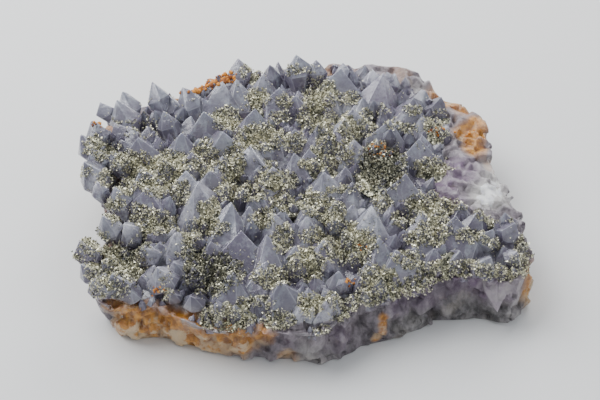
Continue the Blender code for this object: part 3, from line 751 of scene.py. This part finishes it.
def refine_broken_faces(obj):
    """Splits the long edges of the broken faces until they are fine enough to carry chips."""
    make_active(obj)
    for _ in range(SPLITTING_ROUNDS):
        points, _ = mesh_arrays(obj)
        share = broken_share(points)
        mesh = obj.data
        ends = np.empty(len(mesh.edges) * 2, np.int64)
        mesh.edges.foreach_get("vertices", ends)
        ends = ends.reshape(-1, 2)
        length = np.linalg.norm(points[ends[:, 0]] - points[ends[:, 1]], axis=1)
        flat = (points[ends, 2] < UNDERSIDE_HEIGHT).all(axis=1)
        chosen = (share[ends].max(axis=1) > 0.3) & (length > LONGEST_BROKEN_EDGE) & ~flat
        bpy.ops.object.mode_set(mode="EDIT")
        bpy.ops.mesh.select_mode(type="EDGE")
        bpy.ops.mesh.select_all(action="DESELECT")
        bpy.ops.object.mode_set(mode="OBJECT")
        mesh.edges.foreach_set("select", chosen)
        bpy.ops.object.mode_set(mode="EDIT")
        bpy.ops.mesh.subdivide(number_cuts=1)
        bpy.ops.mesh.select_all(action="SELECT")
        bpy.ops.mesh.quads_convert_to_tris()
        bpy.ops.object.mode_set(mode="OBJECT")


def blunt_edges(obj):
    """Blunts the sharp edges a little, and marks the narrow new faces for the material to paint a highlight
    on.
    """
    make_active(obj)
    obj.data.materials.clear()
    for name in ("quartz_face", "quartz_edge_highlight"):
        obj.data.materials.append(bpy.data.materials.new(name))
    bevel = obj.modifiers.new("blunt", "BEVEL")
    bevel.width = EDGE_WIDTH * MM
    bevel.segments = 2
    bevel.limit_method = "ANGLE"
    bevel.angle_limit = BLUNTED_ANGLE
    bevel.use_clamp_overlap = False
    bevel.material = 1
    bpy.ops.object.modifier_apply(modifier=bevel.name)
    bpy.ops.object.mode_set(mode="EDIT")
    bpy.ops.mesh.select_all(action="SELECT")
    bpy.ops.mesh.quads_convert_to_tris()
    bpy.ops.object.mode_set(mode="OBJECT")
    faces = np.zeros(len(obj.data.polygons), np.int32)
    obj.data.polygons.foreach_get("material_index", faces)
    edge = obj.data.attributes.new("edge", "FLOAT", "FACE")
    edge.data.foreach_set("value", faces.astype(np.float32))
    obj.data.polygons.foreach_set("material_index", np.zeros_like(faces))


def vertex_normals(points, triangles):
    """Normals of the vertices, weighed by area."""
    a, b, c = points[triangles].transpose(1, 0, 2)
    area = np.cross(b - a, c - a)
    normals = np.zeros_like(points)
    for corner in range(3):
        np.add.at(normals, triangles[:, corner], area)
    return normals / np.maximum(np.linalg.norm(normals, axis=1, keepdims=True), 1e-12)


class SPECIMEN_OT_quartz(bpy.types.Operator):
    """Refine the quartz: chipped broken faces, and numbers for its material to read"""

    bl_idname = "specimen.quartz"
    bl_label = "Quartz"

    def execute(self, context):
        deselect_all()
        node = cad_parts[QUARTZ_NODE]
        quartz = bpy.data.objects.new("quartz_matrix_and_points", node.data.copy())
        context.scene.collection.objects.link(quartz)
        make_active(quartz)
        bpy.ops.object.mode_set(mode="EDIT")
        bpy.ops.mesh.select_all(action="SELECT")
        bpy.ops.mesh.remove_doubles(threshold=MERGE_DISTANCE * MM)
        bpy.ops.mesh.dissolve_limited(angle_limit=FACET_ANGLE)
        bpy.ops.object.mode_set(mode="OBJECT")
        dice = np.random.default_rng(settings().seed)
        set_facet_light(quartz, dice)
        blunt_edges(quartz)
        refine_broken_faces(quartz)
        points, triangles = mesh_arrays(quartz)
        share = broken_share(points)
        normals = vertex_normals(points, triangles)
        depth = FRACTURE_DEPTH * fracture_offset(points, dice) + 0.3 * noise_at(points, 2.4)
        depth += BULGE_HEIGHT * near_places(points, BULGES)
        depth = (depth - 0.25) * share * smooth(points[:, 2] / 1.2)
        points += normals * depth[:, None]
        quartz.data.vertices.foreach_set("co", (points * MM).ravel())
        quartz.data.update()
        set_attribute(quartz, "rise", points[:, 2] - druse_level(points[:, 1]))
        set_attribute(quartz, "broken", share)
        set_attribute(quartz, "pale", zone_tone(points))
        ragged = 0.25 * noise_at(points, 6.0, 4.0)
        for name, places in (("purple", PURPLE), ("stain", STAINS), ("milky", MILKY)):
            set_attribute(quartz, name, np.clip(near_places(points, places) + ragged, 0.0, 1.0))
        for name, places in (("smoky", SMOKY), ("snow", SNOW)):
            set_attribute(quartz, name, near_places(points, places))
        make_active(quartz)
        bpy.ops.object.shade_smooth_by_angle(angle=SMOOTH_ANGLE)
        finish_piece(quartz, quartz_material(), QUARTZ_SLOT, QUARTZ_NODE)
        return {"FINISHED"}


def rain(objects, count, steepest, dice, patches=None):
    """Where random rays from above first meet objects, and the faces' normals there.

    Where patches are given, rays that can't meet one are left out.
    """
    trees = [surface_tree(obj) for obj in objects]
    low, high = np.array(CAD_BOX) / MM
    starts = dice.uniform(low, high, (count, 3))
    tilt = np.tan(dice.uniform(0.0, steepest, count))
    turn = dice.uniform(0.0, math.tau, count)
    if patches:
        starts[:, 2] = druse_level(starts[:, 1]) + MEAN_RISE
        near = cover(seen_at(starts), patches) > 0.02
        starts, tilt, turn = starts[near], tilt[near], turn[near]
    places, normals = [], []
    for (x, y, _), slope, angle in zip(starts.tolist(), tilt.tolist(), turn.tolist()):
        down = Vector((slope * math.cos(angle), slope * math.sin(angle), -1.0)).normalized()
        origin = Vector((x, y, AIMED_LEVEL)) - down * (RAY_START / -down.z)
        best = None
        for tree in trees:
            hit = tree.ray_cast(origin, down)
            if hit[0] is not None and (best is None or hit[3] < best[3]):
                best = hit
        if best is not None:
            places.append(best[0][:])
            normals.append((best[1] if best[1].dot(down) < 0.0 else -best[1])[:])
    return np.array(places), np.array(normals)


def random_turns(count, dice):
    """Random rotation matrices."""
    q = dice.normal(size=(count, 4))
    w, x, y, z = (q / np.linalg.norm(q, axis=1, keepdims=True)).T
    rows = [
        [1 - 2 * (y * y + z * z), 2 * (x * y - z * w), 2 * (x * z + y * w)],
        [2 * (x * y + z * w), 1 - 2 * (x * x + z * z), 2 * (y * z - x * w)],
        [2 * (x * z - y * w), 2 * (y * z + x * w), 1 - 2 * (x * x + y * y)],
    ]
    return np.array(rows).transpose(2, 0, 1)


def scattered_mesh(name, template, places, turns, sizes, tones):
    """One joined mesh of many copies of a template, each with its place, turn, size and tone."""
    shape, faces = template
    count = len(places)
    points = np.einsum("nij,kj->nki", turns, shape) * sizes[:, None, None] + places[:, None]
    indices = (faces[None] + np.arange(count)[:, None, None] * len(shape)).reshape(-1, 3)
    mesh = bpy.data.meshes.new(name)
    mesh.vertices.add(count * len(shape))
    mesh.vertices.foreach_set("co", (points * MM).ravel())
    mesh.loops.add(indices.size)
    mesh.loops.foreach_set("vertex_index", indices.ravel().astype(np.int32))
    mesh.polygons.add(len(indices))
    mesh.polygons.foreach_set("loop_start", np.arange(0, indices.size, 3, dtype=np.int32))
    mesh.update(calc_edges=True)
    mesh.validate()
    obj = bpy.data.objects.new(name, mesh)
    bpy.context.scene.collection.objects.link(obj)
    set_attribute(obj, "tone", np.repeat(tones, len(shape)))
    obj.data.shade_flat()
    return obj


def template_of(obj):
    """Vertices and triangles of a modelled crystal, which is then removed."""
    points, triangles = mesh_arrays(obj)
    bpy.data.objects.remove(obj)
    return points * MM, triangles


def chalcopyrite_template():
    """One chalcopyrite crystal about a unit high: a disphenoid, which is a drawn-out tetrahedron."""
    deselect_all()
    bpy.ops.mesh.primitive_cone_add(vertices=3, radius1=0.6, radius2=0.0, depth=1.0)
    crystal = bpy.context.object
    bpy.ops.object.mode_set(mode="EDIT")
    bpy.ops.transform.resize(value=(0.8, 0.62, 1.15))
    bpy.ops.object.mode_set(mode="OBJECT")
    return template_of(crystal)


def rust_template():
    """One rounded lump of iron oxide about a unit wide."""
    deselect_all()
    bpy.ops.mesh.primitive_ico_sphere_add(subdivisions=1, radius=0.5)
    return template_of(bpy.context.object)


def quartz_point_template():
    """One small quartz point about a unit wide: a tapered prism and tip on a pointed root."""
    deselect_all()
    bpy.ops.mesh.primitive_cone_add(
        vertices=6, radius1=0.57, radius2=0.4, depth=0.75, location=(0, 0, -0.175)
    )
    crystal = bpy.context.object
    bpy.ops.object.transform_apply()
    bpy.ops.object.mode_set(mode="EDIT")
    bpy.ops.mesh.select_mode(type="FACE")
    for side, height in ((1.0, 0.62), (-1.0, 0.4)):
        bpy.ops.mesh.select_all(action="DESELECT")
        bpy.ops.object.mode_set(mode="OBJECT")
        for face in crystal.data.polygons:
            face.select = face.normal.z * side > 0.9
        bpy.ops.object.mode_set(mode="EDIT")
        bpy.ops.mesh.poke(offset=height)
    bpy.ops.mesh.select_all(action="SELECT")
    bpy.ops.mesh.quads_convert_to_tris()
    bpy.ops.object.mode_set(mode="OBJECT")
    return template_of(crystal)


def crust_nodes():
    """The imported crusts."""
    return [obj for name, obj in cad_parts.items() if name.startswith("chalcopyrite_")]


def shown_surface():
    """The pieces that the single crystals grow on."""
    names = ("quartz_matrix_and_points", "quartz_small_points", "chalcopyrite_crusts")
    return [bpy.data.objects[name] for name in names]


def room_round(obj, places):
    """How far the surface reaches round each place before it drops away, up to the widest root."""
    tree = surface_tree(obj)
    angles = [math.tau * step / ROOT_STEPS for step in range(ROOT_STEPS)]
    high = SEARCH_HEIGHT
    found = []
    for x, y, z in places.tolist():
        room = 0.0
        lowest = min(druse_level(y) - DEEPEST_ROOT, z - SMALLEST_DROP)
        for reach in ROOT_REACHES:
            starts = [Vector((x + reach * math.cos(a), y + reach * math.sin(a), high)) for a in angles]
            hits = [tree.ray_cast(start, DOWN)[0] for start in starts]
            if any(hit is None or hit.z < lowest for hit in hits):
                break
            room = reach
        found.append(room)
    return np.array(found)


def uncrowded(places, widths):
    """Which places keep their distance from those that are chosen before them."""
    chosen = []
    for i, place in enumerate(places):
        apart = np.linalg.norm(places[chosen] - place, axis=1)
        if (apart > SMALL_POINT_CROWDING * (widths[i] + widths[chosen]) / 2.0).all():
            chosen.append(i)
    return chosen


def turned_to(direction, spin=0.0):
    """A turn that points Z in a direction, after a spin about Z."""
    c, s = math.cos(spin), math.sin(spin)
    upright = Vector(direction).to_track_quat("Z", "Y").to_matrix()
    return np.array(upright) @ np.array(((c, -s, 0.0), (s, c, 0.0), (0.0, 0.0, 1.0)))


class SPECIMEN_OT_small_points(bpy.types.Operator):
    """Grow small quartz points in the hollows between the large ones"""

    bl_idname = "specimen.small_points"
    bl_label = "Small quartz points"

    def execute(self, context):
        dice = np.random.default_rng(settings().seed + 3)
        quartz = bpy.data.objects["quartz_matrix_and_points"]
        places, normals = rain([quartz], SMALL_POINT_TRIES, SMALL_POINT_RAY, dice)
        rise = places[:, 2] - druse_level(places[:, 1])
        bare = inside(BARE_EDGE, places) & (broken_share(places) > 0.5)
        fits = (rise > LOWEST_FOOT) & (rise < HIGHEST_FOOT) & (normals[:, 2] > STEEPEST_GROUND) & ~bare
        places, normals = places[fits], normals[fits]
        smallest, widest = SMALL_POINT_WIDTH
        widths = smallest + (widest - smallest) * dice.random(len(places)) ** 1.2
        widths = np.minimum(widths, room_round(quartz, places) / 0.62)
        fits = widths > smallest * 0.66
        places, normals, widths = places[fits], normals[fits], widths[fits]
        chosen = uncrowded(places, widths)
        places, normals, widths = places[chosen], normals[chosen], widths[chosen]
        lean = 0.45 * normals + np.array((0.0, 0.06, 0.75)) + dice.normal(0.0, 0.13, normals.shape)
        spins = dice.uniform(0.0, math.tau, len(lean))
        turns = [turned_to(direction, spin) for direction, spin in zip(lean, spins)]
        stretch = np.append(dice.uniform(*SMALL_POINT_HEIGHT, len(places)), 1.0)
        foot, direction, width = SIDE_POINT
        places = np.vstack([places, foot])
        widths = np.append(widths, width)
        turns = np.array([*turns, turned_to(direction)])
        turns[:, :, 2] *= stretch[:, None]
        piece = scattered_mesh(
            "quartz_small_points", quartz_point_template(), places, turns, widths, dice.random(len(places))
        )
        points, _ = mesh_arrays(piece)
        set_attribute(piece, "rise", points[:, 2] - druse_level(points[:, 1]))
        set_attribute(piece, "pale", zone_tone(points))
        # The amethyst point comes last, and looks like the broken side that it stands on.
        on_side = np.arange(len(points)) >= len(points) - len(points) // len(places)
        set_attribute(piece, "broken", on_side)
        set_attribute(piece, "purple", on_side)
        set_attribute(piece, "milky", 0.45 * on_side)
        set_facet_light(piece, dice)
        finish_piece(piece, quartz.data.materials[0], QUARTZ_SLOT)
        return {"FINISHED"}


class SPECIMEN_OT_crusts(bpy.types.Operator):
    """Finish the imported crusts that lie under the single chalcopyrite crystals"""

    bl_idname = "specimen.crusts"
    bl_label = "Chalcopyrite crusts"

    def execute(self, context):
        deselect_all()
        names = []
        for node in crust_nodes():
            copy = bpy.data.objects.new(node.name + "_copy", node.data.copy())
            context.scene.collection.objects.link(copy)
            if node.name != "chalcopyrite_main":
                for vertex in copy.data.vertices:
                    vertex.co.z -= CRUST_SINK * MM
            copy.select_set(True)
            context.view_layer.objects.active = copy
            names.append(node.name)
        bpy.ops.object.join()
        crusts = context.object
        crusts.name = "chalcopyrite_crusts"
        bpy.ops.object.mode_set(mode="EDIT")
        bpy.ops.mesh.select_all(action="SELECT")
        bpy.ops.mesh.remove_doubles(threshold=MERGE_DISTANCE * MM)
        bpy.ops.mesh.subdivide(number_cuts=2)
        bpy.ops.object.mode_set(mode="OBJECT")
        points, triangles = mesh_arrays(crusts)
        points += vertex_normals(points, triangles) * (0.35 * noise_at(points, 1.3))[:, None]
        crusts.data.vertices.foreach_set("co", (points * MM).ravel())
        crusts.data.update()
        finish_piece(crusts, crust_material(), CHALCOPYRITE_SLOT, *names)
        return {"FINISHED"}


class SPECIMEN_OT_grains(bpy.types.Operator):
    """Cover the crusts and the quartz round them with single chalcopyrite crystals"""

    bl_idname = "specimen.grains"
    bl_label = "Chalcopyrite crystals"

    def execute(self, context):
        own = settings()
        dice = np.random.default_rng(own.seed + 1)
        low, high = np.array(CAD_BOX) / MM
        count = int((high[0] - low[0]) * (high[1] - low[1]) * own.samples_per_area)
        places, normals = rain(shown_surface(), count, STEEPEST_RAY, dice, PATCHES)
        share = cover(seen_at(places), PATCHES)
        lace = noise_at(places, 1.3) * 0.6 + noise_at(places, 3.5, 9.0) * 0.5
        rise = places[:, 2] - druse_level(places[:, 1])
        share = share - 0.35 * smooth((rise - 4.5) / 4.0)
        share = share * smooth((normals[:, 2] + 0.2) / 0.4)
        chance = smooth((share + 0.75 * lace - 0.33) / 0.3) * (0.55 + 0.45 * share)
        keep = dice.random(len(places)) < chance
        keep &= ((broken_share(places) < 0.35) | (share > 0.5)) & (places[:, 2] > LOWEST_GRAIN)
        places, normals = places[keep], normals[keep]
        sizes = own.grain_size / MM * np.clip(dice.lognormal(0.0, 0.28, len(places)), 0.5, 1.9)
        places = places + normals * (dice.uniform(0.0, 0.9, (len(places), 1)) * sizes[:, None])
        strays, stray_normals = rain(shown_surface(), STRAY_RAYS, STEEPEST_RAY, dice)
        lone = smooth(noise_at(strays, 6.0, 2.0) * 1.5 + 0.15) * (broken_share(strays) < 0.35)
        lone = (dice.random(len(strays)) < lone) & (strays[:, 2] > LOWEST_GRAIN)
        places = np.concatenate([places, strays[lone]])
        normals = np.concatenate([normals, stray_normals[lone]])
        sizes = np.concatenate([sizes, own.grain_size / MM * dice.uniform(0.7, 1.4, lone.sum())])
        turns = random_turns(len(places), dice)
        dull = cover(seen_at(places), DULL_PATCHES)
        tones = np.clip(dice.beta(1.3, 1.2, len(places)) - 0.38 * dull, 0.0, 1.0)
        material = chalcopyrite_material("chalcopyrite")
        template = chalcopyrite_template()
        for name, start, end in CRYSTAL_STRIPS:
            here = (places[:, 0] >= start) & (places[:, 0] < end)
            piece = scattered_mesh(
                "chalcopyrite_grains_" + name, template, places[here], turns[here], sizes[here], tones[here]
            )
            finish_piece(piece, material, CHALCOPYRITE_SLOT)
        return {"FINISHED"}


class SPECIMEN_OT_rust(bpy.types.Operator):
    """Scatter rusty grains where the photograph shows them"""

    bl_idname = "specimen.rust"
    bl_label = "Rust grains"

    def execute(self, context):
        dice = np.random.default_rng(settings().seed + 2)
        places, normals = rain(shown_surface(), RUST_RAYS, STEEPEST_RAY, dice, RUST_SPOTS)
        share = cover(seen_at(places), RUST_SPOTS)
        keep = dice.random(len(places)) < share * 0.8 * smooth((normals[:, 2] + 0.1) / 0.4)
        keep &= places[:, 2] > LOWEST_GRAIN
        places, normals = places[keep], normals[keep]
        sizes = np.clip(dice.lognormal(-0.05, 0.3, len(places)), 0.5, 1.8) * (0.5 + 0.6 * share[keep])
        turns = random_turns(len(places), dice) * dice.uniform(0.8, 1.15, (len(places), 1, 3))
        piece = scattered_mesh(
            "rust_grains", rust_template(), places + normals * 0.15, turns, sizes, dice.random(len(places))
        )
        finish_piece(piece, rust_material(), QUARTZ_SLOT)
        return {"FINISHED"}


class SPECIMEN_OT_stage(bpy.types.Operator):
    """Set out the floor, the lights and the camera"""

    bl_idname = "specimen.stage"
    bl_label = "Stage"

    def execute(self, context):
        deselect_all()
        bpy.ops.mesh.primitive_plane_add(size=FLOOR_SIZE, location=(0.0, 0.0, -FLOOR_DROP * MM))
        floor = context.object
        floor.name = "floor"
        n = Nodes("floor")
        floor.data.materials.append(n.set(Base_Color=FLOOR_COLOUR, Roughness=0.85))
        target = VIEW_TARGET * MM
        for name, place, size, power, colour in LIGHTS:
            bpy.ops.object.light_add(type="AREA", location=place)
            light = context.object
            light.name = name
            light.data.size = size
            light.data.energy = power
            light.data.color = colour
            light.rotation_euler = (target - light.location).to_track_quat("-Z", "Y").to_euler()
        world = bpy.data.worlds.new("studio")
        context.scene.world = world
        world.use_nodes = True
        background = world.node_tree.nodes["Background"]
        background.inputs["Color"].default_value = WORLD_COLOUR
        background.inputs["Strength"].default_value = WORLD_STRENGTH
        bpy.ops.object.camera_add(location=VIEW_POINT * MM)
        camera = context.object
        camera.rotation_euler = VIEW_DIRECTION.to_track_quat("-Z", "Y").to_euler()
        camera.data.lens = VIEW_LENS
        camera.data.sensor_width = VIEW_SENSOR
        camera.data.clip_start = 0.01
        context.scene.camera = camera
        deselect_all()
        return {"FINISHED"}


class SPECIMEN_PT_panel(bpy.types.Panel):
    """Lists the specimen's settings and steps"""

    bl_label = "Specimen"
    bl_idname = "SPECIMEN_PT_panel"
    bl_space_type = "VIEW_3D"
    bl_region_type = "UI"
    bl_category = "Specimen"

    def draw(self, context):
        for name in SpecimenSettings.__annotations__:
            self.layout.prop(context.scene.specimen, name)
        for operator in OPERATORS:
            self.layout.operator(operator.bl_idname)


OPERATORS = (
    SPECIMEN_OT_quartz,
    SPECIMEN_OT_small_points,
    SPECIMEN_OT_crusts,
    SPECIMEN_OT_grains,
    SPECIMEN_OT_rust,
    SPECIMEN_OT_stage,
)
CLASSES = (SpecimenSettings, *OPERATORS, SPECIMEN_PT_panel)


def register():
    for cls in CLASSES:
        bpy.utils.register_class(cls)
    bpy.types.Scene.specimen = bpy.props.PointerProperty(type=SpecimenSettings)


def unregister():
    del bpy.types.Scene.specimen
    for cls in reversed(CLASSES):
        bpy.utils.unregister_class(cls)


def main():
    register()
    bpy.ops.specimen.quartz()
    bpy.ops.specimen.small_points()
    bpy.ops.specimen.crusts()
    bpy.ops.specimen.grains()
    bpy.ops.specimen.rust()
    bpy.ops.specimen.stage()


if __name__ == "__main__":
    main()
